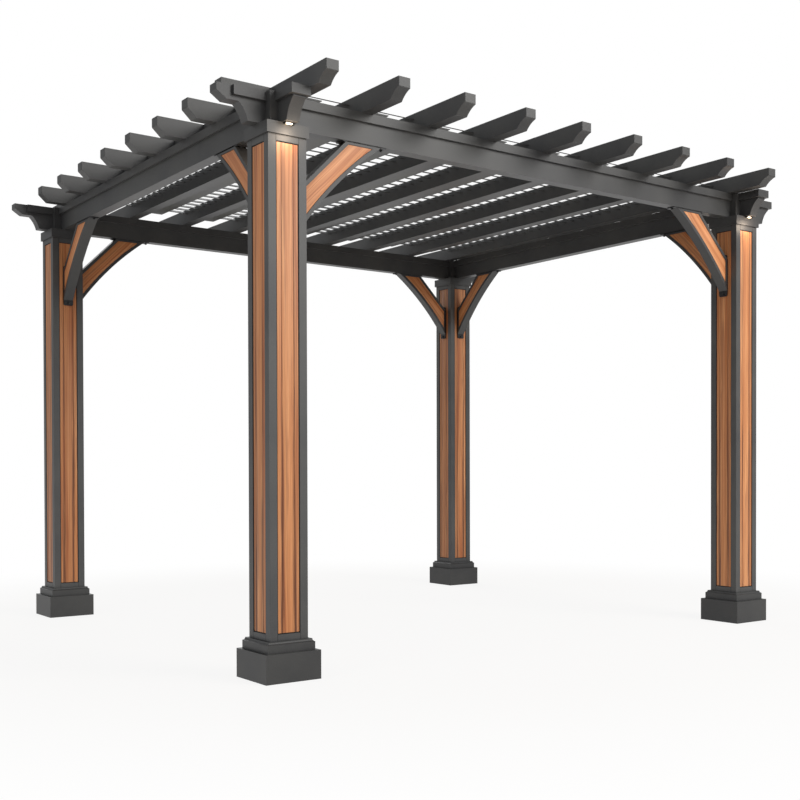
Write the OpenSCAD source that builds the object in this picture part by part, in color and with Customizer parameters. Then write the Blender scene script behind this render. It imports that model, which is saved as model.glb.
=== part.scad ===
/* [Plan] */
// Distance between the posts' centre lines along X
span_x = 2980; // [2000:10:5000]
// Distance between the posts' centre lines along Y
span_y = 2640; // [2000:10:4500]
// Height of the collars' top, where the beams sit
seat_z = 2305; // [1900:5:3000]

/* [Posts] */
// Width of a square post
post_w = 180; // [140:1:260]
// Width of the metal trim at each edge of a post's face
trim_w = 36; // [20:1:50]
// Depth of the recess that holds a cedar panel
recess = 9; // [7:0.5:14]
// Thickness of a cedar panel on a post
panel_t = 6; // [3:0.5:6.5]
// Gap between a cedar panel and the metal around it
panel_gap = 4; // [1:0.5:6]
// Height of the rails above and below a post's panels
rail_h = 31; // [15:1:80]

/* [Plinths and collars] */
// Width of the plinth's square block
plinth_w = 260; // [220:1:420]
// Height of the plinth's block
plinth_h = 122; // [60:1:250]
// How far the plinth's moulding stands out from the post at its foot
mould_out = 22; // [12:1:38]
// How far the moulding narrows from its foot to its top
mould_in = 8.5; // [4:0.5:11]
// Height of the moulding's upright band
mould_band = 35; // [8:1:60]
// Height of the moulding's hollow above the band
mould_cove = 12; // [8:1:60]
// How far the collar stands out from the post
collar_out = 9; // [3:0.5:30]
// Height of the collar
collar_h = 50; // [25:1:100]
// Width of the square hub that joins the beams above the collar
hub_w = 140; // [110:1:178]

/* [Beams] */
// Width of a beam's body
beam_w = 60; // [40:1:90]
// Height of a beam's body
beam_h = 92; // [70:1:200]
// Width of the cap strip on a beam
cap_w = 90; // [66:1:108]
// Height of the cap strip
cap_h = 40; // [20:1:80]
// Reach of the stubs past the post's centre line along Y
stub_y = 207; // [190:1:400]
// Reach of the stubs past the post's centre line along X
stub_x = 290; // [240:1:450]
// How far the left stubs' pointed noses run past their cap strip
nose_out = 70; // [50:1:90]
// Step from a stub's cap strip back to its body
stub_lip = 15; // [5:1:30]
// Length of the hollow under a stub's end
cove_run = 55; // [20:1:80]
// Height of the upright end of a stub's body, above its hollow
stub_tip = 8; // [4:1:50]
// Depth of the hollow under a stub's end
cove_sag = 9; // [1:0.5:14]
// Height of a nose
nose_h = 60; // [45:1:80]
// Height of the upright end of a nose
nose_tip = 30; // [15:1:40]

/* [Rafters] */
// Width of a rafter
rafter_w = 60; // [35:1:90]
// Height of a rafter
rafter_h = 84; // [60:1:160]
// Reach of a rafter past the posts' centre line
rafter_out = 320; // [200:5:500]
// Gap between the end rafters and the side beams' cap strips
rafter_gap = 2; // [1:0.5:30]
// Number of short tails on each side beam
tail_n = 8; // [4:1:12]
// Reach of a tail past the posts' centre line
tail_out = 187; // [120:1:400]
// Height of the upright end of a rafter or a tail
tip_h = 43; // [20:1:55]
// Length of the cut under a rafter's end
tip_run = 62; // [25:1:100]
// Length of the cut under the end of a tail or a nose
tail_run = 44; // [20:1:48]
// How far the cut under a rafter's end is hollowed
tip_sag = 6; // [1:0.5:9]

/* [Louvers] */
// Number of louver blades in each bay
blade_n = 31; // [15:1:40]
// Width of a louver blade
blade_w = 74; // [45:1:78]
// Thickness of a louver blade
blade_t = 4; // [2:0.5:7]
// Tilt of the louver blades from level
blade_tilt = 20; // [5:1:30]
// Clear space between the outer blades and the beams' cap strips
blade_clear = 14; // [2:1:80]
// Depth of the blades' upper edges below the rafters' top
blade_drop = 1; // [0:1:10]
// Width of the shade board on the right side of each rafter
shade_w = 150; // [60:1:220]
// Thickness of a shade board
shade_t = 4; // [2:0.5:8]
// Gap between a shade board and the blades above it
shade_gap = 5; // [1:1:20]

/* [Braces] */
// Distance from the corner to a brace's inner edge, along the beam and the post
brace_in = 240; // [180:1:310]
// Distance from the corner to a brace's outer edge, along the beam and the post
brace_out = 425; // [390:1:620]
// Thickness of a brace
brace_t = 56; // [36:1:60]
// How far a brace's outer edge bows in toward the corner
brace_sag = 26; // [10:1:55]
// Width of the metal border along a brace's inner and outer edges
brace_edge = 18; // [10:1:24]
// Width of the metal border at a brace's ends
brace_end = 16; // [8:1:30]
// Depth of the pocket that holds a brace's cedar inset
pocket = 6; // [4:0.5:9]
// Thickness of a brace's cedar inset
inset_t = 4; // [2:0.5:4]
// Gap between a brace's cedar inset and the border around it
inset_gap = 1; // [0.5:0.5:3]

/* [Lights] */
// Length of a light bar
light_l = 46; // [20:1:56]
// Width of a light bar
light_w = 16; // [8:1:18]
// Height of a light bar
light_h = 9; // [4:1:20]

/* [Hidden] */
charcoal = "dimgray";
cedar = "peru";
$fn = 64;
// Number of rafters: fixed, because each is a node of its own
rafter_n = 9;
// Half spans and the four posts' signs along X and Y
hx = span_x / 2;
hy = span_y / 2;
LEFT = -1;
RIGHT = 1;
FRONT = -1;
REAR = 1;
// Levels from the ground up
mould_w = post_w + 2 * mould_out;
plinth_top = plinth_h + mould_band + mould_cove;
collar_w = post_w + 2 * collar_out;
post_top = seat_z - collar_h;
cap_z = seat_z + beam_h;
roof_z = cap_z + cap_h;
roof_top = roof_z + rafter_h;
// The left stubs' cap strip stops short of their noses
stub_left = stub_x - nose_out;
// Cedar panels on the posts
panel_w = post_w - 2 * trim_w - 2 * panel_gap;
panel_z0 = plinth_top + rail_h;
panel_z1 = post_top - rail_h;
panel_face = post_w / 2 - recess + panel_t;
// Rafters, tails and louvers
rafter_x = hx - cap_w / 2 - rafter_gap - rafter_w / 2;
rafter_step = 2 * rafter_x / (rafter_n - 1);
rafter_l = span_y + 2 * rafter_out;
tail_step = span_y / tail_n;
tail_l = hx + tail_out - rafter_x - rafter_w / 2;
blade_y = hy - cap_w / 2 - blade_clear - blade_w / 2;
blade_step = 2 * blade_y / (blade_n - 1);
blade_rise = blade_w * sin(blade_tilt) + blade_t * cos(blade_tilt);
blade_z = roof_top - blade_drop - blade_rise / 2;
bay_w = rafter_step - rafter_w;
shade_y = hy - cap_w / 2 - blade_clear;
shade_z = blade_z - blade_rise / 2 - shade_gap - shade_t;
stub_rise = beam_h - stub_tip;
// Bow of a brace's outer edge: its circle's radius and centre
brace_chord = brace_out * sqrt(2);
brace_r = arc_radius(brace_chord, brace_sag);
brace_c = brace_out / 2 + (brace_r - brace_sag) / sqrt(2);

// Radius of the arc that bows by sag over a chord
function arc_radius(chord, sag) = (chord * chord / 4 + sag * sag) / (2 * sag);

// Place a child at a post: sx is LEFT or RIGHT, sy is FRONT or REAR
module at_post(sx, sy) {
    translate([sx * hx, sy * hy, 0]) children();
}

// Four copies of a child, one on each side of a post
module on_faces() {
    for (turn = [0:90:270]) rotate(turn) children();
}

// The solid that two equal outlines enclose when they cross at right angles
module mitred(reach) {
    intersection() {
        rotate([90, 0, 0]) linear_extrude(reach, center = true) children();
        rotate([90, 0, 90]) linear_extrude(reach, center = true) children();
    }
}

// An arc's disc that hollows the corner left of [0, -low] and above [-run, -high]
module hollow(run, low, high, sag) {
    drop = high - low;
    chord = norm([run, drop]);
    r = arc_radius(chord, sag);
    translate([-run / 2 + drop / chord * (r - sag), -(low + high) / 2 - run / chord * (r - sag)])
        circle(r, $fn = 128);
}

// Outline of a roof member from its end at 0 back to -length, its top at 0
module member_end(length, h, tip, run, sag) {
    difference() {
        polygon([[-length, 0], [0, 0], [0, -tip], [-run, -h], [-length, -h]]);
        if (sag > 0) hollow(run, tip, h, sag);
    }
}

// Stand an outline up in the XZ plane, with a thickness centred on Y
module upright(t) {
    rotate([90, 0, 0]) linear_extrude(t, center = true) children();
}

// Posts: a square tube with a panel recess in each face
module post(sx, sy) {
    color(charcoal) at_post(sx, sy) difference() {
        translate([-post_w / 2, -post_w / 2, plinth_top]) cube([post_w, post_w, post_top - plinth_top]);
        on_faces() translate([-panel_w / 2 - panel_gap, post_w / 2 - recess, panel_z0 - panel_gap])
            cube([panel_w + 2 * panel_gap, recess + 1, panel_z1 - panel_z0 + 2 * panel_gap]);
    }
}

// Cedar: a panel on each face of a post, and the insets of its two braces
module post_cedar(sx, sy) {
    color(cedar) at_post(sx, sy) {
        on_faces() translate([-panel_w / 2, post_w / 2 - recess, panel_z0])
            cube([panel_w, panel_t, panel_z1 - panel_z0]);
        for (along_y = [false, true]) at_brace(sx, sy, along_y) brace_insets();
    }
}

// Plinth: a square block with a hollowed moulding on it
module plinth(sx, sy) {
    color(charcoal) at_post(sx, sy) mitred(plinth_w) {
        translate([-plinth_w / 2, 0]) square([plinth_w, plinth_h]);
        translate([-mould_w / 2, plinth_h]) square([mould_w, mould_band]);
        for (side = [0, 1]) mirror([side, 0]) translate([mould_w / 2, plinth_h + mould_band])
            moulding_side();
    }
}

// Half outline of the moulding's hollow, from its outer foot at 0 to the centre
module moulding_side() {
    sag = mould_in / 3;
    chord = norm([mould_in, mould_cove]);
    r = arc_radius(chord, sag);
    difference() {
        polygon([[0, 0], [-mould_in, mould_cove], [-mould_w / 2, mould_cove], [-mould_w / 2, 0]]);
        translate([-mould_in / 2 + mould_cove / chord * (r - sag),
                   mould_cove / 2 + mould_in / chord * (r - sag)]) circle(r, $fn = 128);
    }
}

// Collar: a flat block on the post, and the hub above it
module collar(sx, sy) {
    color(charcoal) at_post(sx, sy) {
        translate([-collar_w / 2, -collar_w / 2, post_top]) cube([collar_w, collar_w, collar_h]);
        translate([-hub_w / 2, -hub_w / 2, seat_z]) cube([hub_w, hub_w, roof_z - seat_z]);
    }
}

// Outline of a stub's body from the hub outward: its end is hollowed below
module stub_outline(reach) {
    body_end = reach - stub_lip;
    difference() {
        polygon([[hub_w / 2, seat_z], [body_end - cove_run, seat_z], [body_end, seat_z + stub_rise],
                 [body_end, cap_z], [hub_w / 2, cap_z]]);
        translate([body_end, seat_z + stub_rise]) hollow(cove_run, 0, stub_rise, cove_sag);
    }
}

// Outline of a left stub: a pointed nose runs out over the hollow, past the cap strip
module nose_outline() {
    stub_outline(stub_left);
    difference() {
        translate([stub_x, roof_z]) member_end(stub_x - hub_w / 2, nose_h, nose_tip, tail_run, 0);
        translate([-1, cap_z]) square([stub_left + 1, cap_h + 1]);
    }
}

// A beam along X: its body between the hubs, and a stub past each hub
module beam_x(sy) {
    color(charcoal) translate([0, sy * hy, 0]) {
        translate([-hx + hub_w / 2, -beam_w / 2, seat_z]) cube([span_x - hub_w, beam_w, beam_h]);
        translate([hx, 0, 0]) upright(beam_w) stub_outline(stub_x);
        translate([-hx, 0, 0]) mirror([1, 0, 0]) upright(beam_w) nose_outline();
    }
}

// A beam along Y: its body between the hubs, and a stub past each hub
module beam_y(sx) {
    color(charcoal) translate([sx * hx, 0, 0]) {
        translate([-beam_w / 2, -hy + hub_w / 2, seat_z]) cube([beam_w, span_y - hub_w, beam_h]);
        for (turn = [90, -90]) rotate(turn) translate([hy, 0, 0]) upright(beam_w) stub_outline(stub_y);
    }
}

// The cap strip on a beam along X
module cap_x(sy) {
    color(charcoal) translate([0, sy * hy - cap_w / 2, cap_z]) {
        translate([-hx - stub_left, 0, 0]) cube([stub_left - hub_w / 2, cap_w, cap_h]);
        translate([-hx + hub_w / 2, 0, 0]) cube([span_x - hub_w, cap_w, cap_h]);
        translate([hx + hub_w / 2, 0, 0]) cube([stub_x - hub_w / 2, cap_w, cap_h]);
    }
}

// The cap strip on a beam along Y
module cap_y(sx) {
    color(charcoal) translate([sx * hx - cap_w / 2, 0, cap_z]) {
        translate([0, -hy - stub_y, 0]) cube([cap_w, stub_y - hub_w / 2, cap_h]);
        translate([0, -hy + hub_w / 2, 0]) cube([cap_w, span_y - hub_w, cap_h]);
        translate([0, hy + hub_w / 2, 0]) cube([cap_w, stub_y - hub_w / 2, cap_h]);
    }
}

// Place a brace's outline axes at a post: X runs out from the face, Z is height
module at_brace(sx, sy, along_y) {
    run_x = along_y ? 0 : -sx;
    run_y = along_y ? -sy : 0;
    translate([run_x * post_w / 2, run_y * post_w / 2, seat_z]) rotate(atan2(run_y, run_x)) children();
}

// Outline of a brace, set in by edge along its edges and by end at the beam and the post
module brace_outline(edge, end) {
    inner = brace_in + edge * sqrt(2);
    difference() {
        polygon([[inner - end, -end], [brace_out, -end], [brace_out, -brace_out],
                 [end, -brace_out], [end, end - inner]]);
        translate([brace_c, -brace_c]) circle(brace_r + edge, $fn = 256);
    }
}

// Brace: a bowed metal frame whose foot runs into the post's recess to the panel
module brace(sx, sy, along_y) {
    foot_in = post_w / 2 - panel_face;
    color(charcoal) at_post(sx, sy) at_brace(sx, sy, along_y) difference() {
        union() {
            upright(brace_t) brace_outline(0, 0);
            translate([-foot_in, -brace_t / 2, -brace_out]) cube([foot_in, brace_t, brace_out - brace_in]);
        }
        for (side = [-1, 1]) translate([0, side * (brace_t / 2 - pocket / 2 + 0.5), 0])
            upright(pocket + 1) brace_outline(brace_edge - inset_gap, brace_end - inset_gap);
    }
}

// The cedar insets in both faces of a brace
module brace_insets() {
    for (side = [-1, 1]) translate([0, side * (brace_t / 2 - pocket + inset_t / 2), 0])
        upright(inset_t) brace_outline(brace_edge, brace_end);
}

// Rafter number i, counted from 1 at the left
module rafter(i) {
    x = -rafter_x + (i - 1) * rafter_step;
    color(charcoal) translate([x, 0, roof_top]) rotate(90) for (side = [0, 1]) mirror([side, 0, 0])
        translate([rafter_l / 2, 0, 0]) upright(rafter_w) member_end(rafter_l / 2, rafter_h, tip_h, tip_run, tip_sag);
}

// The row of short tails on a side beam, butted to the end rafter
module tails(sx) {
    color(charcoal) for (i = [0:tail_n - 1])
        translate([0, -hy + (i + 0.5) * tail_step, roof_top]) mirror([sx == LEFT ? 1 : 0, 0, 0])
            translate([hx + tail_out, 0, 0]) upright(rafter_w) member_end(tail_l, rafter_h, tip_h, tail_run, 0);
}

// Place a child at the middle of each bay in one half of the roof
module at_bays(sx) {
    for (bay = [0:(rafter_n - 1) / 2 - 1]) translate([sx * (bay + 0.5) * rafter_step, 0, 0]) children();
}

// The louver blades of one half of the roof, just below the rafters' top
module louvers(sx) {
    color(charcoal) at_bays(sx) for (i = [0:blade_n - 1])
        translate([0, -blade_y + i * blade_step, blade_z])
            rotate([blade_tilt, 0, 0]) cube([bay_w, blade_w, blade_t], center = true);
}

// The shade boards of one half of the roof, each on the right side of its rafter
module shades(sx) {
    color(charcoal) at_bays(sx) translate([-bay_w / 2, -shade_y, shade_z])
        cube([shade_w, 2 * shade_y, shade_t]);
}

// A light bar under a beam, against the collar's face on the side that dy says
module light_bar(sx, sy, dy) {
    at_post(sx, sy) translate([-light_l / 2, dy > 0 ? collar_w / 2 : -collar_w / 2 - light_w,
                               seat_z - light_h]) cube([light_l, light_w, light_h]);
}

// Light bars: one outside each post, and one inside each front post
module light_bars() {
    color("wheat") for (sx = [LEFT, RIGHT]) {
        for (sy = [FRONT, REAR]) light_bar(sx, sy, sy);
        light_bar(sx, FRONT, REAR);
    }
}

post(LEFT, FRONT);  // post_front_left
post(RIGHT, FRONT);  // post_front_right
post(LEFT, REAR);  // post_rear_left
post(RIGHT, REAR);  // post_rear_right
post_cedar(LEFT, FRONT);  // cedar_front_left
post_cedar(RIGHT, FRONT);  // cedar_front_right
post_cedar(LEFT, REAR);  // cedar_rear_left
post_cedar(RIGHT, REAR);  // cedar_rear_right
plinth(LEFT, FRONT);  // plinth_front_left
plinth(RIGHT, FRONT);  // plinth_front_right
plinth(LEFT, REAR);  // plinth_rear_left
plinth(RIGHT, REAR);  // plinth_rear_right
collar(LEFT, FRONT);  // collar_front_left
collar(RIGHT, FRONT);  // collar_front_right
collar(LEFT, REAR);  // collar_rear_left
collar(RIGHT, REAR);  // collar_rear_right
beam_x(FRONT);  // beam_front
beam_x(REAR);  // beam_rear
beam_y(LEFT);  // beam_left
beam_y(RIGHT);  // beam_right
cap_x(FRONT);  // cap_front
cap_x(REAR);  // cap_rear
cap_y(LEFT);  // cap_left
cap_y(RIGHT);  // cap_right
brace(LEFT, FRONT, false);  // brace_front_left_x
brace(LEFT, FRONT, true);  // brace_front_left_y
brace(RIGHT, FRONT, false);  // brace_front_right_x
brace(RIGHT, FRONT, true);  // brace_front_right_y
brace(LEFT, REAR, false);  // brace_rear_left_x
brace(LEFT, REAR, true);  // brace_rear_left_y
brace(RIGHT, REAR, false);  // brace_rear_right_x
brace(RIGHT, REAR, true);  // brace_rear_right_y
rafter(1);  // rafter_1
rafter(2);  // rafter_2
rafter(3);  // rafter_3
rafter(4);  // rafter_4
rafter(5);  // rafter_5
rafter(6);  // rafter_6
rafter(7);  // rafter_7
rafter(8);  // rafter_8
rafter(9);  // rafter_9
tails(LEFT);  // tails_left
tails(RIGHT);  // tails_right
louvers(LEFT);  // louvers_left
louvers(RIGHT);  // louvers_right
shades(LEFT);  // shades_left
shades(RIGHT);  // shades_right
light_bars();
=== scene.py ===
import bpy
import bmesh
import math
from mathutils import Matrix, Vector


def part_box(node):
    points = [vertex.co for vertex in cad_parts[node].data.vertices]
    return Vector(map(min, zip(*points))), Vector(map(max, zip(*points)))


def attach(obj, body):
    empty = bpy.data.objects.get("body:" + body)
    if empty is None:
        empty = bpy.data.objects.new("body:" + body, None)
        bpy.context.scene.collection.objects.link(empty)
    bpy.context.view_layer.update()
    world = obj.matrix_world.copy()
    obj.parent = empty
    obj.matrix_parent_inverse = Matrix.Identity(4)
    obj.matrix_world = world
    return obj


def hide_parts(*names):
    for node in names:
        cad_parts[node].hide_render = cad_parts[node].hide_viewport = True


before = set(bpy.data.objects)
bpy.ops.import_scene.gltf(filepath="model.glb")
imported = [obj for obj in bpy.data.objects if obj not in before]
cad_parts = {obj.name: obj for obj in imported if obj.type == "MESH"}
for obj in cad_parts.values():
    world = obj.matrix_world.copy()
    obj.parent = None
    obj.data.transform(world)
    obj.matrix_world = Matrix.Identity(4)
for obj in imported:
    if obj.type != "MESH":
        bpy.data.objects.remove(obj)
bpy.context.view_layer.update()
corners = [(side, end) for side in ("left", "right") for end in ("front", "rear")]
print("stage: frame loaded")


def tint(red, green, blue):
    # a colour given in 0..255 steps, as the linear value that Blender wants
    def linear(step):
        part = step / 255
        return part / 12.92 if part <= 0.04045 else ((part + 0.055) / 1.055) ** 2.4
    return (linear(red), linear(green), linear(blue), 1.0)


class Wire:
    # one output socket of a material; arithmetic on it adds Math nodes
    def __init__(self, finish, socket):
        self.finish = finish
        self.socket = socket

    def math(self, operation, *values):
        return self.finish.add("Math", {"operation": operation}, dict(enumerate(values)))

    def __add__(self, other):
        return self.math("ADD", self, other)

    def __radd__(self, other):
        return self.math("ADD", other, self)

    def __sub__(self, other):
        return self.math("SUBTRACT", self, other)

    def __rsub__(self, other):
        return self.math("SUBTRACT", other, self)

    def __mul__(self, other):
        return self.math("MULTIPLY", self, other)

    def __rmul__(self, other):
        return self.math("MULTIPLY", other, self)

    def __abs__(self):
        return self.math("ABSOLUTE", self)

    def ramp(self, low, high):
        # 0 below low, 1 above high, smooth between them
        return self.finish.add("MapRange", {"interpolation_type": "SMOOTHSTEP"},
                               {"Value": self, "From Min": low, "From Max": high})

    def most(self, other):
        return self.math("MAXIMUM", self, other)

    def least(self, other):
        return self.math("MINIMUM", self, other)

    def root(self):
        return self.math("SQRT", self)


class Finish:
    # a material, or the world, that is put together from nodes
    def __init__(self, name, kind="materials"):
        self.material = getattr(bpy.data, kind).new(name)
        self.material.use_nodes = True
        self.tree = self.material.node_tree
        self.tree.nodes.clear()

    def plug(self, socket, value):
        if isinstance(value, Wire):
            self.tree.links.new(value.socket, socket)
        else:
            socket.default_value = value

    def add(self, kind, settings=None, sockets=None, out=0):
        node = self.tree.nodes.new("ShaderNode" + kind)
        for key, value in (settings or {}).items():
            if key == "stops":
                while len(node.color_ramp.elements) < len(value):
                    node.color_ramp.elements.new(0.5)
                for element, (place, colour) in zip(node.color_ramp.elements, value):
                    element.position, element.color = place, colour
            else:
                setattr(node, key, value)
        for key, value in (sockets or {}).items():
            self.plug(node.inputs[key], value)
        return Wire(self, node.outputs[out]) if len(node.outputs) else node

    def blend(self, share, first, second, how="MIX"):
        # a Mix node on colours: 6 and 7 are its two colour inputs, 2 its colour output
        return self.add("Mix", {"data_type": "RGBA", "blend_type": how},
                        {0: share, 6: first, 7: second}, out=2)

    def axes(self, vector):
        split = self.add("SeparateXYZ", None, {0: vector})
        node = split.socket.node
        return [Wire(self, node.outputs[i]) for i in range(3)]

    def noise(self, vector, scale, detail=2.0, rough=0.5, stretch=(1, 1, 1), seed=None):
        mapped = self.add("Mapping", None, {"Vector": vector, "Scale": stretch})
        settings = {"noise_dimensions": "3D" if seed is None else "4D"}
        sockets = {"Vector": mapped, "Scale": scale, "Detail": detail, "Roughness": rough}
        if seed is not None:
            sockets["W"] = seed
        return self.add("TexNoise", settings, sockets)

    def close(self, sockets):
        shader = self.add("BsdfPrincipled", None, sockets)
        self.add("OutputMaterial", None, {"Surface": shader})
        return self.material


class Plan:
    # a Geometry Nodes tree with named inputs, ending in one set of real faces
    def __init__(self, name, inputs):
        self.tree = bpy.data.node_groups.new(name, "GeometryNodeTree")
        self.keys = {}
        face = self.tree.interface
        face.new_socket("Geometry", in_out="INPUT", socket_type="NodeSocketGeometry")
        for label, kind in inputs.items():
            entry = face.new_socket(label, in_out="INPUT", socket_type="NodeSocket" + kind)
            self.keys[label] = entry.identifier
        face.new_socket("Geometry", in_out="OUTPUT", socket_type="NodeSocketGeometry")
        self.start = self.tree.nodes.new("NodeGroupInput")

    def given(self, label):
        return self.start.outputs[label]

    def add(self, kind, settings=None, sockets=None, out=0):
        node = self.tree.nodes.new(kind)
        for key, value in (settings or {}).items():
            setattr(node, key, value)
        for key, value in (sockets or {}).items():
            for item in value if isinstance(value, list) else [value]:
                if isinstance(item, bpy.types.NodeSocket):
                    self.tree.links.new(item, node.inputs[key])
                else:
                    node.inputs[key].default_value = item
        return node.outputs[out]

    def calc(self, operation, first, second):
        return self.add("ShaderNodeMath", {"operation": operation}, {0: first, 1: second})

    def column(self, sides, radius, depth, centre):
        # a closed upright prism of the given number of sides, standing at a height
        body = self.add("GeometryNodeMeshCylinder", {"fill_type": "NGON"},
                        {"Vertices": sides, "Radius": radius, "Depth": depth})
        lift = self.add("ShaderNodeCombineXYZ", None, {"Z": centre})
        return self.add("GeometryNodeTransform", None, {"Geometry": body, "Translation": lift})

    def repeat(self, shape):
        # one copy of shape on each point, its Z along "facing" and its X along "along"
        facing, along = (
            self.add("GeometryNodeInputNamedAttribute", {"data_type": "FLOAT_VECTOR"}, {"Name": label})
            for label in ("facing", "along"))
        upright = self.add("FunctionNodeAlignRotationToVector", {"axis": "Z"}, {"Vector": facing})
        turned = self.add("FunctionNodeAlignRotationToVector", {"axis": "X", "pivot_axis": "Z"},
                          {"Rotation": upright, "Vector": along})
        return self.add("GeometryNodeInstanceOnPoints", None,
                        {"Points": self.given("Geometry"), "Instance": shape, "Rotation": turned})

    def close(self, geometry):
        real = self.add("GeometryNodeRealizeInstances", None, {"Geometry": geometry})
        done = self.add("GeometryNodeSetMaterial", None,
                        {"Geometry": real, "Material": self.given("Material")})
        end = self.tree.nodes.new("NodeGroupOutput")
        self.tree.links.new(done, end.inputs[0])
        return self


def newPiece(name, mesh, finishes=()):
    piece = bpy.data.objects.new(name, mesh)
    bpy.context.scene.collection.objects.link(piece)
    for finish in finishes:
        mesh.materials.append(finish)
    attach(piece, "root")
    return piece


def growPiece(name, plan, spots, values):
    # spots are (place, facing, along); values are the plan's named inputs
    mesh = bpy.data.meshes.new(name)
    mesh.from_pydata([spot[0] for spot in spots], [], [])
    for column, label in ((1, "facing"), (2, "along")):
        layer = mesh.attributes.new(label, "FLOAT_VECTOR", "POINT")
        layer.data.foreach_set("vector", [c for spot in spots for c in spot[column]])
    host = bpy.data.objects.new(name, mesh)
    bpy.context.scene.collection.objects.link(host)
    modifier = host.modifiers.new("plan", "NODES")
    modifier.node_group = plan.tree
    for label, value in values.items():
        modifier[plan.keys[label]] = value
    bpy.context.view_layer.update()
    grown = bpy.data.meshes.new_from_object(host.evaluated_get(bpy.context.evaluated_depsgraph_get()))
    bpy.data.objects.remove(host)
    grown.name = name
    for label in ("facing", "along"):
        if label in grown.attributes:
            grown.attributes.remove(grown.attributes[label])
    print("stage:", name, len(spots), "copies,", len(grown.polygons), "faces")
    return newPiece(name, grown)


view = {"place": (-3.8466, -5.5620, 0.8865), "yaw": 0.6453, "pitch": -0.0120, "roll": -0.0022,
        "lens": 51.43, "shift": (-0.0462, 0.1007)}

ahead = Vector((math.sin(view["yaw"]) * math.cos(view["pitch"]),
                math.cos(view["yaw"]) * math.cos(view["pitch"]), math.sin(view["pitch"])))
level = Vector((math.cos(view["yaw"]), -math.sin(view["yaw"]), 0))
aside = math.cos(view["roll"]) * level + math.sin(view["roll"]) * level.cross(ahead)
camera = bpy.data.objects.new("camera", bpy.data.cameras.new("camera"))
bpy.context.scene.collection.objects.link(camera)
camera.matrix_world = Matrix.Translation(view["place"]) @ Matrix(
    (aside, aside.cross(ahead), -ahead)).transposed().to_4x4()
camera.data.sensor_width = 36
camera.data.lens = view["lens"]
camera.data.shift_x, camera.data.shift_y = view["shift"]
camera.data.clip_start, camera.data.clip_end = 0.05, 300
bpy.context.scene.camera = camera
print("stage: camera set")


def coated(name, shade, warmth=1.0, seams=None):
    # powder-coated aluminium: a fine orange peel, faint chalking and a satin sheen
    finish = Finish(name)
    place = finish.add("TexCoord", None, None, out=3)
    cloud = finish.noise(place, 3.2, 3, 0.55)
    speck = finish.noise(place, 240, 2, 0.6)
    dark = tint(shade - 7, shade - 7, shade - 6)
    light = tint(shade + 6, shade + 6, shade + 5 * warmth)
    colour = finish.blend(cloud.ramp(0.32, 0.68), dark, light)
    colour = finish.blend(speck.ramp(0.45, 0.75) * 0.16, colour, tint(shade + 34, shade + 34, shade + 34))
    height = finish.noise(place, 620, 1, 0.5) * 0.5 + speck * 0.5
    rough = 0.40 + cloud * 0.10 + speck * 0.06
    if seams:
        # butt joints where the rails meet the corner trims
        x, y, z = finish.axes(place)
        acrossX = abs(abs(abs(x) - seams["postX"]) - seams["halfRail"])
        acrossY = abs(abs(abs(y) - seams["postY"]) - seams["halfRail"])
        line = 1 - acrossX.least(acrossY).ramp(seams["width"] * 0.45, seams["width"])
        rails = z.ramp(seams["topRail"], seams["topRail"] + 0.001).most(
            1 - z.ramp(seams["lowRail"] - 0.001, seams["lowRail"]))
        joint = line * rails
        colour = finish.blend(joint * 0.85, colour, tint(14, 14, 14))
        height = height - joint * 6
        rough = rough + joint * 0.3
    bump = finish.add("Bump", None, {"Height": height, "Strength": 0.25, "Distance": 0.0004})
    return finish.close({"Base Color": colour, "Roughness": rough, "Normal": bump,
                         "Specular IOR Level": 0.5})


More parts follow.
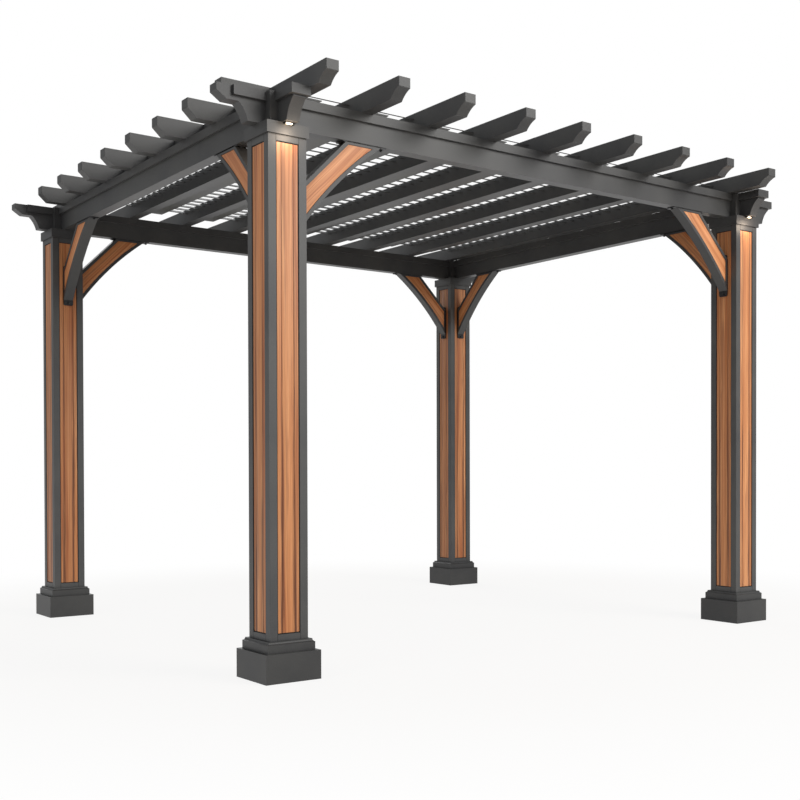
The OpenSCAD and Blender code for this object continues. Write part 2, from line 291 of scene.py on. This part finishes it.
def cedarWood(name):
    # oiled red cedar: "grain" is across, deep and along the board in metres
    finish = Finish(name)
    grain = finish.add("Attribute", {"attribute_name": "grain"}, None, out=1)
    seed = finish.add("Attribute", {"attribute_name": "seed"}, None, out=2)
    tone = finish.add("Attribute", {"attribute_name": "tone"}, None, out=2)
    onPanel = finish.add("Attribute", {"attribute_name": "onPanel"}, None, out=2)  # 1 on a post, 0 on a brace
    across, deep, along = finish.axes(grain)
    sway = finish.noise(grain, 1.0, 3, 0.5, (9, 9, 1.6), seed) - 0.5
    drift = finish.add("CombineXYZ", None, {"X": across + sway * 0.026, "Y": deep, "Z": along})
    rings = finish.noise(drift, 1.0, 3, 0.62, (150, 30, 1.4), seed)
    broad = finish.noise(drift, 1.0, 2, 0.5, (42, 12, 0.7), seed + 4)
    fibre = finish.noise(drift, 1.0, 3, 0.7, (1500, 260, 16), seed + 9)
    flame = finish.noise(drift, 1.0, 2, 0.5, (60, 12, 3.2), seed + 15)
    body = finish.add("ValToRGB", {"stops": [
        (0.28, tint(134, 68, 34)), (0.40, tint(178, 104, 58)), (0.50, tint(208, 138, 86)),
        (0.60, tint(226, 160, 108)), (0.72, tint(238, 184, 132))]}, {0: rings * 0.45 + broad * 0.55})
    heart = broad.ramp(0.50, 0.62) * flame.ramp(0.38, 0.58)
    colour = finish.blend(heart * 0.55, body, tint(132, 68, 34))
    # dark bands run beside the joints between the boards; they widen and darken toward the foot as painted
    # shade, darker towards the bottom
    foot = 1 - along.ramp(0.2, 1.9)
    edge = abs(abs(across + sway * 0.014) - 0.0285)
    width = 0.0045 + foot * 0.0045
    band = (1 - (edge - width).ramp(-0.0035, 0.0020)) * finish.noise(
        grain, 1.0, 2, 0.6, (40, 20, 1.6), seed + 21).ramp(0.34, 0.56)
    band = band * onPanel
    # painted shade: the bands grow darker toward the foot
    colour = finish.blend(band * (0.46 + foot * 0.34), colour, tint(82, 36, 14))
    colour = finish.blend(fibre.ramp(0.50, 0.78) * 0.30, colour, tint(134, 76, 42))
    colour = finish.blend((0.5 - tone).ramp(0.0, 0.5) * 0.22, colour, tint(120, 66, 36), "MULTIPLY")
    bump = finish.add("Bump", None,
                      {"Height": fibre * 0.6 + rings * 0.4, "Strength": 0.35, "Distance": 0.0006})
    rough = 0.46 + fibre * 0.16 - band * 0.05
    return finish.close({"Base Color": colour, "Roughness": rough, "Normal": bump,
                         "Coat Weight": 0.12, "Coat Roughness": 0.35})


# painted shade: a near-black finish for the strips that darken the gaps round the panels
def gapShadeFinish(name):
    finish = Finish(name)
    place = finish.add("TexCoord", None, None, out=3)
    grit = finish.noise(place, 420, 2, 0.6)
    colour = finish.blend(grit.ramp(0.35, 0.7), tint(12, 12, 12), tint(24, 23, 22))
    bump = finish.add("Bump", None, {"Height": grit, "Strength": 0.3, "Distance": 0.0003})
    return finish.close({"Base Color": colour, "Roughness": 0.7 + grit * 0.15, "Normal": bump})


def darkSteel(name):
    # blackened fastener steel, a little rubbed on its high spots
    finish = Finish(name)
    place = finish.add("TexCoord", None, None, out=3)
    rub = finish.noise(place, 160, 3, 0.65)
    colour = finish.blend(rub.ramp(0.5, 0.72), tint(38, 38, 39), tint(86, 86, 87))
    bump = finish.add("Bump", None, {"Height": rub, "Strength": 0.2, "Distance": 0.0003})
    return finish.close({"Base Color": colour, "Roughness": 0.38 + rub * 0.14, "Metallic": 0.55,
                         "Normal": bump})


def warmLens(name):
    finish = Finish(name)
    place = finish.add("TexCoord", None, None, out=3)
    ribs = finish.noise(place, 300, 1, 0.5, (1, 0.05, 0.05))
    glow = finish.blend(ribs.ramp(0.35, 0.65), tint(255, 226, 190), tint(255, 240, 218))
    return finish.close({"Base Color": glow, "Emission Color": glow, "Emission Strength": 1.9,
                         "Roughness": 0.3 + ribs * 0.1})


postBox = {corner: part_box("post_" + corner[1] + "_" + corner[0]) for corner in corners}
oneLow, oneHigh = postBox[("right", "rear")]
postX, postY = (oneLow.x + oneHigh.x) / 2, (oneLow.y + oneHigh.y) / 2
postHalf = (oneHigh.x - oneLow.x) / 2
postFoot, postTop = oneLow.z, oneHigh.z

panel = {"width": 0.100, "thick": 0.006, "recess": 0.009, "gap": 0.004, "rail": 0.031,
         "joint": 0.0285, "jointGap": 0.0012, "round": 0.0016}
panelLow, panelHigh = postFoot + panel["rail"], postTop - panel["rail"]

seams = {"postX": postX, "postY": postY, "halfRail": panel["width"] / 2 + panel["gap"], "width": 0.0016,
         "topRail": panelHigh + panel["gap"], "lowRail": panelLow - panel["gap"]}
# one charcoal powder coat on every frame part; its different shades per part are painted light and shade for
# how each part is lit: the plinth darker, the posts and louver blades lighter, the blades and shade boards
# warmer
frameCoat = coated("frameCoat", 58)
postCoat = coated("postCoat", 70, seams=seams)
plinthCoat = coated("plinthCoat", 55)
bladeCoat = coated("bladeCoat", 72, 0.8)
shadeCoat = coated("shadeCoat", 62, 0.2)
cedar = cedarWood("cedar")
gapShadeBlack = gapShadeFinish("gapShadeBlack")
steel = darkSteel("steel")
lens = warmLens("lens")

ownCoats = {"post": postCoat, "plinth": plinthCoat, "louvers": bladeCoat, "shades": shadeCoat}
for nodeName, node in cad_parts.items():
    coat = ownCoats.get(nodeName.split("_")[0], frameCoat)
    if not node.material_slots:
        node.data.materials.append(coat)
    for materialSlot in node.material_slots:
        materialSlot.material = coat
print("stage: finishes on", len(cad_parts), "frame nodes")


class BoardStack:
    # gathers boards into one mesh, each with its own grain, seed and tone
    def __init__(self):
        self.points, self.faces = [], []
        self.grain = []
        self.marks = {"seed": [], "tone": [], "onPanel": []}

    def board(self, outline, thick, roundOff, place, toGrain, **marks):
        # outline is in X and Z, its front face at Y = 0 facing -Y
        form = bmesh.new()
        back = form.faces.new([form.verts.new((x, thick, z)) for x, z in outline])
        front = bmesh.ops.extrude_face_region(form, geom=[back])
        moved = [part for part in front["geom"] if isinstance(part, bmesh.types.BMVert)]
        bmesh.ops.translate(form, verts=moved, vec=(0, -thick, 0))
        bmesh.ops.recalc_face_normals(form, faces=form.faces)
        rims = [edge for edge in form.edges if all(vert in moved for vert in edge.verts)]
        bmesh.ops.bevel(form, geom=rims, offset=roundOff, segments=2, profile=0.6, affect="EDGES")
        bmesh.ops.recalc_face_normals(form, faces=form.faces)
        form.verts.ensure_lookup_table()
        first = len(self.points)
        flip = place.determinant() < 0
        for vert in form.verts:
            self.points.append(place @ vert.co)
            self.grain.append(toGrain @ vert.co)
            for mark, value in marks.items():
                self.marks[mark].append(value)
        for face in form.faces:
            ring = [first + vert.index for vert in face.verts]
            self.faces.append(ring[::-1] if flip else ring)
        form.free()

    def finish(self, name, slotName, finish):
        mesh = bpy.data.meshes.new(name)
        mesh.from_pydata(self.points, [], self.faces)
        mesh.attributes.new("grain", "FLOAT_VECTOR", "POINT").data.foreach_set(
            "vector", [c for vector in self.grain for c in vector])
        for mark, values in self.marks.items():
            mesh.attributes.new(mark, "FLOAT", "POINT").data.foreach_set("value", values)
        mesh.shade_smooth()
        mesh.set_sharp_from_angle(angle=math.radians(38))
        return newPiece(name, mesh, [finish])


brace = {"inner": 0.240, "outer": 0.425, "sag": 0.026, "edge": 0.018, "end": 0.016, "thick": 0.056,
         "pocket": 0.006, "inset": 0.004, "round": 0.0010, "steps": 18}
collarLow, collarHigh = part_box("collar_front_left")
collar = {"tall": 0.050, "half": (collarHigh.x - collarLow.x) / 2}
seatZ = collarLow.z + collar["tall"]  # the underside of the beams


def insetOutline(edge, end):
    # the brace's bowed outline, set in along its edges and its ends
    inner = brace["inner"] + edge * math.sqrt(2)
    chord = brace["outer"] * math.sqrt(2)
    radius = (chord * chord / 4 + brace["sag"] ** 2) / (2 * brace["sag"])
    centre = brace["outer"] / 2 + (radius - brace["sag"]) / math.sqrt(2)
    reach = radius + edge
    # the arc from the beam's end to the post's end
    topX = centre - math.sqrt(reach ** 2 - (centre - end) ** 2)
    start = math.atan2(centre - end, topX - centre)
    stop = math.atan2(centre - topX, end - centre)
    arc = []
    for step in range(brace["steps"] + 1):
        angle = start + (stop - start) * step / brace["steps"]
        arc.append((centre + reach * math.cos(angle), -centre + reach * math.sin(angle)))
    return arc + [(end, end - inner), (inner - end, -end)]


def onFace(centre, facing, reach):
    # local -Y looks along facing, local Z stays up, and the start is at reach from the post's middle
    start = Matrix.Translation((centre.x + facing[0] * reach, centre.y + facing[1] * reach, 0))
    return start @ Matrix.Rotation(math.atan2(facing[1], facing[0]) + math.pi / 2, 4, "Z")


boardEdges = [(-panel["width"] / 2, -panel["joint"]), (-panel["joint"], panel["joint"]),
              (panel["joint"], panel["width"] / 2)]
outwards = [(0, -1), (1, 0), (0, 1), (-1, 0)]
for cornerIndex, corner in enumerate(corners):
    low, high = postBox[corner]
    centre = (low + high) / 2
    stack = BoardStack()
    for faceIndex, facing in enumerate(outwards):
        surface = postHalf - panel["recess"] + panel["thick"]
        place = onFace(centre, facing, surface)
        panelSeed = 7.0 * cornerIndex + 1.7 * faceIndex
        for boardIndex, (left, right) in enumerate(boardEdges):
            slack = panel["jointGap"] / 2
            left += slack if boardIndex > 0 else 0
            right -= slack if boardIndex < 2 else 0
            outline = [(left, panelLow), (right, panelLow), (right, panelHigh), (left, panelHigh)]
            tone = 0.5 + 0.5 * math.sin(panelSeed * 2.3 + boardIndex * 2.1)
            stack.board(outline, panel["thick"], panel["round"], place, Matrix.Identity(4),
                        seed=panelSeed + 0.55 * boardIndex, tone=tone, onPanel=1)
    sideSign = -1 if corner[0] == "left" else 1
    endSign = -1 if corner[1] == "front" else 1
    for runIndex, run in enumerate([(-sideSign, 0), (0, -endSign)]):
        for faceSign in (-1, 1):
            # local X runs out from the post, local Z is up from the beam's underside
            runWay = Vector((run[0], run[1], 0))
            inward = Vector((0, 0, 1)).cross(runWay) * -faceSign
            origin = Vector((centre.x, centre.y, seatZ)) + runWay * postHalf - inward * (
                brace["thick"] / 2 - brace["pocket"] + brace["inset"])
            turned = Matrix((runWay, inward, Vector((0, 0, 1)))).transposed().to_4x4()
            place = Matrix.Translation(origin) @ turned
            middle = (brace["inner"] + brace["outer"]) / 4
            toGrain = Matrix.Rotation(math.radians(-45), 4, "Y") @ Matrix.Translation((-middle, 0, middle))
            seed = 40 + 5.3 * cornerIndex + 2.1 * runIndex + 0.8 * faceSign
            stack.board(insetOutline(brace["edge"], brace["end"]), brace["inset"], brace["round"],
                        place, toGrain, seed=seed, tone=0.5 + 0.4 * math.sin(seed), onPanel=0)
    nodeName = "cedar_" + corner[1] + "_" + corner[0]
    piece = stack.finish("cedarBoards_" + corner[1] + "_" + corner[0], "cedar", cedar)
    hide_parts(nodeName)
print("stage: cedar boards and insets made")


def boxFaces(first):
    ring = [(0, 1, 3, 2), (4, 6, 7, 5), (0, 4, 5, 1), (2, 3, 7, 6), (0, 2, 6, 4), (1, 5, 7, 3)]
    return [[first + i for i in face] for face in ring]


def stripMesh(name, boxes):
    # boxes are (matrix, low corner, high corner)
    points, faces = [], []
    for place, low, high in boxes:
        faces += boxFaces(len(points))
        points += [place @ Vector((x, y, z)) for x in (low[0], high[0]) for y in (low[1], high[1])
                   for z in (low[2], high[2])]
    mesh = bpy.data.meshes.new(name)
    mesh.from_pydata(points, [], faces)
    form = bmesh.new()
    form.from_mesh(mesh)
    bmesh.ops.recalc_face_normals(form, faces=form.faces)
    form.to_mesh(mesh)
    form.free()
    return mesh


# painted shade: near-black strips fill the gaps round each panel, where only shade falls, to darken them
gapShadeFill = {"deep": 0.0048, "tuck": 0.0002}
strips = []
for corner in corners:
    low, high = postBox[corner]
    centre = (low + high) / 2
    for facing in outwards:
        floorAt = postHalf - panel["recess"]
        place = onFace(centre, facing, floorAt)
        inside = panel["width"] / 2 + gapShadeFill["tuck"]
        outside = panel["width"] / 2 + panel["gap"] - gapShadeFill["tuck"]
        foot, head = panelLow - panel["gap"] + gapShadeFill["tuck"], panelHigh + panel["gap"] - gapShadeFill["tuck"]
        for sign in (-1, 1):
            strips.append((place, (min(sign * inside, sign * outside), -gapShadeFill["deep"], foot),
                           (max(sign * inside, sign * outside), 0, head)))
        strips.append((place, (-inside, -gapShadeFill["deep"], foot), (inside, 0, panelLow - gapShadeFill["tuck"])))
        strips.append((place, (-inside, -gapShadeFill["deep"], panelHigh + gapShadeFill["tuck"]), (inside, 0, head)))
newPiece("panelGapShade", stripMesh("panelGapShade", strips), [gapShadeBlack])
print("stage: gapShadeStrips made")


platePlan = Plan("platePlan", {"Length": "Float", "Width": "Float", "Thickness": "Float", "Corner": "Float",
                               "Material": "Material"})
oblong = platePlan.add("GeometryNodeCurvePrimitiveQuadrilateral", None,
                       {"Width": platePlan.given("Length"), "Height": platePlan.given("Width")})
rounded = platePlan.add("GeometryNodeFilletCurve", {"mode": "POLY"},
                        {"Curve": oblong, "Radius": platePlan.given("Corner"), "Count": 3})
sheetFace = platePlan.add("GeometryNodeFillCurve", {"mode": "NGONS"}, {"Curve": rounded})
raised = platePlan.add("GeometryNodeExtrudeMesh", {"mode": "FACES"},
                       {"Mesh": sheetFace, "Offset Scale": platePlan.given("Thickness"), "Individual": False})
under = platePlan.add("GeometryNodeFlipFaces", None, {"Mesh": sheetFace})
joined = platePlan.add("GeometryNodeJoinGeometry", None, {"Geometry": [raised, under]})
welded = platePlan.add("GeometryNodeMergeByDistance", None, {"Geometry": joined, "Distance": 0.00001})
platePlan.close(platePlan.repeat(welded))

boltPlan = Plan("boltPlan", {"Head Width": "Float", "Head Height": "Float", "Washer Width": "Float",
                             "Washer Height": "Float", "Material": "Material"})
washerTop = boltPlan.given("Washer Height")
washer = boltPlan.column(24, boltPlan.calc("MULTIPLY", boltPlan.given("Washer Width"), 0.5), washerTop,
                         boltPlan.calc("MULTIPLY", washerTop, 0.5))
headMiddle = boltPlan.calc("ADD", washerTop, boltPlan.calc("MULTIPLY", boltPlan.given("Head Height"), 0.5))
head = boltPlan.column(6, boltPlan.calc("MULTIPLY", boltPlan.given("Head Width"), 0.5),
                       boltPlan.given("Head Height"), headMiddle)
crown = boltPlan.add("GeometryNodeMeshCone", {"fill_type": "NGON"}, {
    "Vertices": 12, "Radius Bottom": boltPlan.calc("MULTIPLY", boltPlan.given("Head Width"), 0.42),
    "Radius Top": boltPlan.calc("MULTIPLY", boltPlan.given("Head Width"), 0.28),
    "Depth": boltPlan.calc("MULTIPLY", boltPlan.given("Head Height"), 0.25)})
crownLift = boltPlan.add("ShaderNodeCombineXYZ", None,
                         {"Z": boltPlan.calc("ADD", washerTop, boltPlan.given("Head Height"))})
crown = boltPlan.add("GeometryNodeTransform", None, {"Geometry": crown, "Translation": crownLift})
bolt = boltPlan.add("GeometryNodeJoinGeometry", None, {"Geometry": [washer, head, crown]})
boltPlan.close(boltPlan.repeat(bolt))

bracePlate = {"Length": 0.236, "Width": 0.056, "Thickness": 0.005, "Corner": 0.010, "Material": steel}
braceBolt = {"Head Width": 0.013, "Head Height": 0.005, "Washer Width": 0.019, "Washer Height": 0.0015,
             "Material": steel}
boltInset = 0.014  # from a plate's end to the middle of its bolt
plateSpots, boltSpots = [], []
midRun = (brace["inner"] + brace["outer"]) / 2
down = Vector((0, 0, -1))
for corner in corners:
    low, high = postBox[corner]
    centre = Vector(((low.x + high.x) / 2, (low.y + high.y) / 2, seatZ))
    for runWay in (Vector((-1 if corner[0] == "right" else 1, 0, 0)),
                   Vector((0, -1 if corner[1] == "rear" else 1, 0))):
        post = centre + runWay * postHalf
        underBeam = post + runWay * midRun
        onPost = post + down * midRun
        plateSpots.append((underBeam, down, runWay))
        plateSpots.append((onPost, runWay, down))
        for sign in (-1, 1):
            offset = sign * (bracePlate["Length"] / 2 - boltInset)
            lift = bracePlate["Thickness"]
            boltSpots.append((underBeam + runWay * offset + down * lift, down, runWay))
            boltSpots.append((onPost + down * offset + runWay * lift, runWay, down))
growPiece("bracePlates", platePlan, plateSpots, bracePlate)
growPiece("braceBolts", boltPlan, boltSpots, braceBolt)

# end plates close the rafters and the tails
endPlate = {"Length": 0.0570, "Width": 0.0400, "Thickness": 0.0015, "Corner": 0.003, "Material": frameCoat}
tail = {"count": 8, "tip": 0.043}  # tip is the height of a member's upright end
screwShifts = (-0.014, 0.014)  # a pair of screws over each beam
capSpots, screwSpots = [], []
side = Vector((1, 0, 0))
forward = Vector((0, 1, 0))
up = Vector((0, 0, 1))
rafterNames = sorted(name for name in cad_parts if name.startswith("rafter_"))
for name in rafterNames:
    low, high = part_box(name)
    middle = (low.x + high.x) / 2
    for sign, at in ((-1, low.y), (1, high.y)):
        capSpots.append((Vector((middle, at, high.z - tail["tip"] / 2)), forward * sign, side))
        for shift in screwShifts:
            screwSpots.append((Vector((middle, sign * postY + shift, high.z)), up, side))
tailLow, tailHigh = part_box("tails_right")
tailStep = 2 * postY / tail["count"]
for sign in (-1, 1):
    for index in range(tail["count"]):
        y = -postY + (index + 0.5) * tailStep
        capSpots.append((Vector((sign * tailHigh.x, y, tailHigh.z - tail["tip"] / 2)), side * sign, forward))
        for shift in screwShifts:
            screwSpots.append((Vector((sign * (postX + shift), y, tailHigh.z)), up, side))
growPiece("endPlates", platePlan, capSpots, endPlate)
roofScrew = {"Head Width": 0.009, "Head Height": 0.0035, "Washer Width": 0.015, "Washer Height": 0.0012,
             "Material": steel}
growPiece("roofScrews", boltPlan, screwSpots, roofScrew)

glow = {"watts": 0.5, "size": 0.03, "below": 0.016, "out": 0.030, "colour": (1.0, 0.80, 0.62)}
fixture = {"cap": 0.008, "back": 0.003, "lensRound": 0.0055, "segments": 10}
barSize = {"length": 0.046, "deep": 0.016, "tall": 0.009}
housing, glowing, spots = [], [], []
for corner in corners:
    ends = [corner[1]] + (["rear"] if corner[1] == "front" else [])
    low, high = postBox[corner]
    for end in ends:
        sign = -1 if end == "front" else 1
        y = (low.y + high.y) / 2 + sign * (collar["half"] + barSize["deep"] / 2)
        spots.append((Vector(((low.x + high.x) / 2, y, seatZ)), sign))
for middle, sign in spots:
    place = Matrix.Translation(middle)
    half, deep, tall = barSize["length"] / 2, barSize["deep"] / 2, barSize["tall"]
    housing.append((place, (-half, -deep, -fixture["back"]), (half, deep, 0)))
    housing.append((place, (-half, -deep, -tall), (-half + fixture["cap"] / 2, deep, -fixture["back"])))
    housing.append((place, (half - fixture["cap"] * 1.5, -deep, -tall), (half, deep, -fixture["back"])))
    lensEnds = (-half + fixture["cap"] / 2, half - fixture["cap"] * 1.5)
    glowing.append((middle, lensEnds, deep - 0.001, tall - fixture["back"]))
lightMesh = stripMesh("lightFixtures", housing)
lightForm = bmesh.new()
lightForm.from_mesh(lightMesh)
bmesh.ops.bevel(lightForm, geom=list(lightForm.edges), offset=0.0006, segments=1, affect="EDGES")
for face in lightForm.faces:
    face.material_index = 0
for middle, lensEnds, deep, tall in glowing:
    # a lens with a rounded belly between the two end caps
    turns = [math.pi * i / fixture["segments"] for i in range(fixture["segments"] + 1)]
    rings = [[lightForm.verts.new(middle + Vector((
        x, deep * math.cos(turn), -fixture["back"] - (tall - 0.0004) * math.sin(turn))))
        for turn in turns] for x in lensEnds]
    made = []
    for i in range(fixture["segments"]):
        made.append(lightForm.faces.new((rings[0][i], rings[1][i], rings[1][i + 1], rings[0][i + 1])))
    made.append(lightForm.faces.new((rings[0][0], rings[0][-1], rings[1][-1], rings[1][0])))
    made.append(lightForm.faces.new(rings[0]))
    made.append(lightForm.faces.new(rings[1][::-1]))
    bmesh.ops.recalc_face_normals(lightForm, faces=made)
    for face in made:
        face.material_index = 1
lightForm.to_mesh(lightMesh)
lightForm.free()
fixturePiece = newPiece("lightFixtures", lightMesh, [steel, lens])
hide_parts("light_bars")
for middle, sign in spots:
    # each lens also throws a small warm pool on the collar and the panel below it
    bulb = bpy.data.lights.new("bulb", "POINT")
    bulb.energy, bulb.shadow_soft_size, bulb.color = glow["watts"], glow["size"], glow["colour"]
    holder = bpy.data.objects.new("bulb", bulb)
    bpy.context.scene.collection.objects.link(holder)
    out = sign * (barSize["deep"] / 2 + glow["out"])
    holder.location = middle + Vector((0, out, -glow["below"] - glow["size"]))
print("stage: light fixtures made")


stage = {"half": 60.0, "warm": tint(226, 218, 208), "paper": 1.0, "shadow": 0.12, "near": 2.2, "far": 4.5}
floorMesh = stripMesh("floor", [(Matrix.Identity(4), (-stage["half"], -stage["half"], -0.02),
                                 (stage["half"], stage["half"], 0.0))])
floor = bpy.data.objects.new("floor", floorMesh)
bpy.context.scene.collection.objects.link(floor)
ground = Finish("ground")
seen = ground.add("LightPath", None, None, out=0)
shiny = Wire(ground, seen.socket.node.outputs["Is Glossy Ray"])
clear = Wire(ground, seen.socket.node.outputs["Is Transmission Ray"])
direct = seen.most(shiny).most(clear)
matt = ground.add("BsdfDiffuse", None, {"Color": stage["warm"]})
lit = ground.add("Emission", None, {"Color": (1, 1, 1, 1), "Strength": stage["paper"]})
east, north, rise = ground.axes(ground.add("TexCoord", None, None, out=3))
distance = (east * east + north * north).root()
# the shadow fades out round the object
shade = (1 - distance.ramp(stage["near"], stage["far"])) * stage["shadow"]
pale = ground.add("MixShader", None, {0: direct * (1 - shade), 1: matt, 2: lit})
ground.add("OutputMaterial", None, {"Surface": pale})
floorMesh.materials.append(ground.material)

sky = {"dome": 0.50, "domeTint": (0.96, 0.98, 1.0, 1), "paper": 1.0}
studio = Finish("studio", "worlds")
path = studio.add("LightPath")
straight = path.most(Wire(studio, path.socket.node.outputs["Is Transmission Ray"]))
dome = studio.add("Background", None, {"Color": sky["domeTint"], "Strength": sky["dome"]})
paper = studio.add("Background", None, {"Color": (1, 1, 1, 1), "Strength": sky["paper"]})
studio.add("OutputWorld", None, {"Surface": studio.add("MixShader", None, {0: straight, 1: dome, 2: paper})})
bpy.context.scene.world = studio.material

lamps = {
    "key": {"place": (2.6, -7.4, 5.0), "aim": (-0.4, -1.0, 1.9), "size": 4.0, "watts": 415,
            "colour": (1, 0.985, 0.96)},
    "fill": {"place": (-8.2, -2.4, 5.4), "aim": (-1.0, -0.5, 2.0), "size": 4.0, "watts": 75,
             "colour": (0.97, 0.985, 1)},
    "back": {"place": (1.5, 8.5, 5.0), "aim": (0, 1.0, 1.6), "size": 5.0, "watts": 190, "colour": (1, 1, 1)},
}
for name, lamp in lamps.items():
    light = bpy.data.lights.new(name, "AREA")
    light.size = lamp["size"]
    light.energy = lamp["watts"]
    light.color = lamp["colour"]
    holder = bpy.data.objects.new(name, light)
    bpy.context.scene.collection.objects.link(holder)
    holder.location = lamp["place"]
    holder.rotation_euler = (Vector(lamp["aim"]) - Vector(lamp["place"])).to_track_quat("-Z", "Y").to_euler()
bpy.context.scene.view_settings.view_transform = "Standard"
print("stage: floor and lamps set")
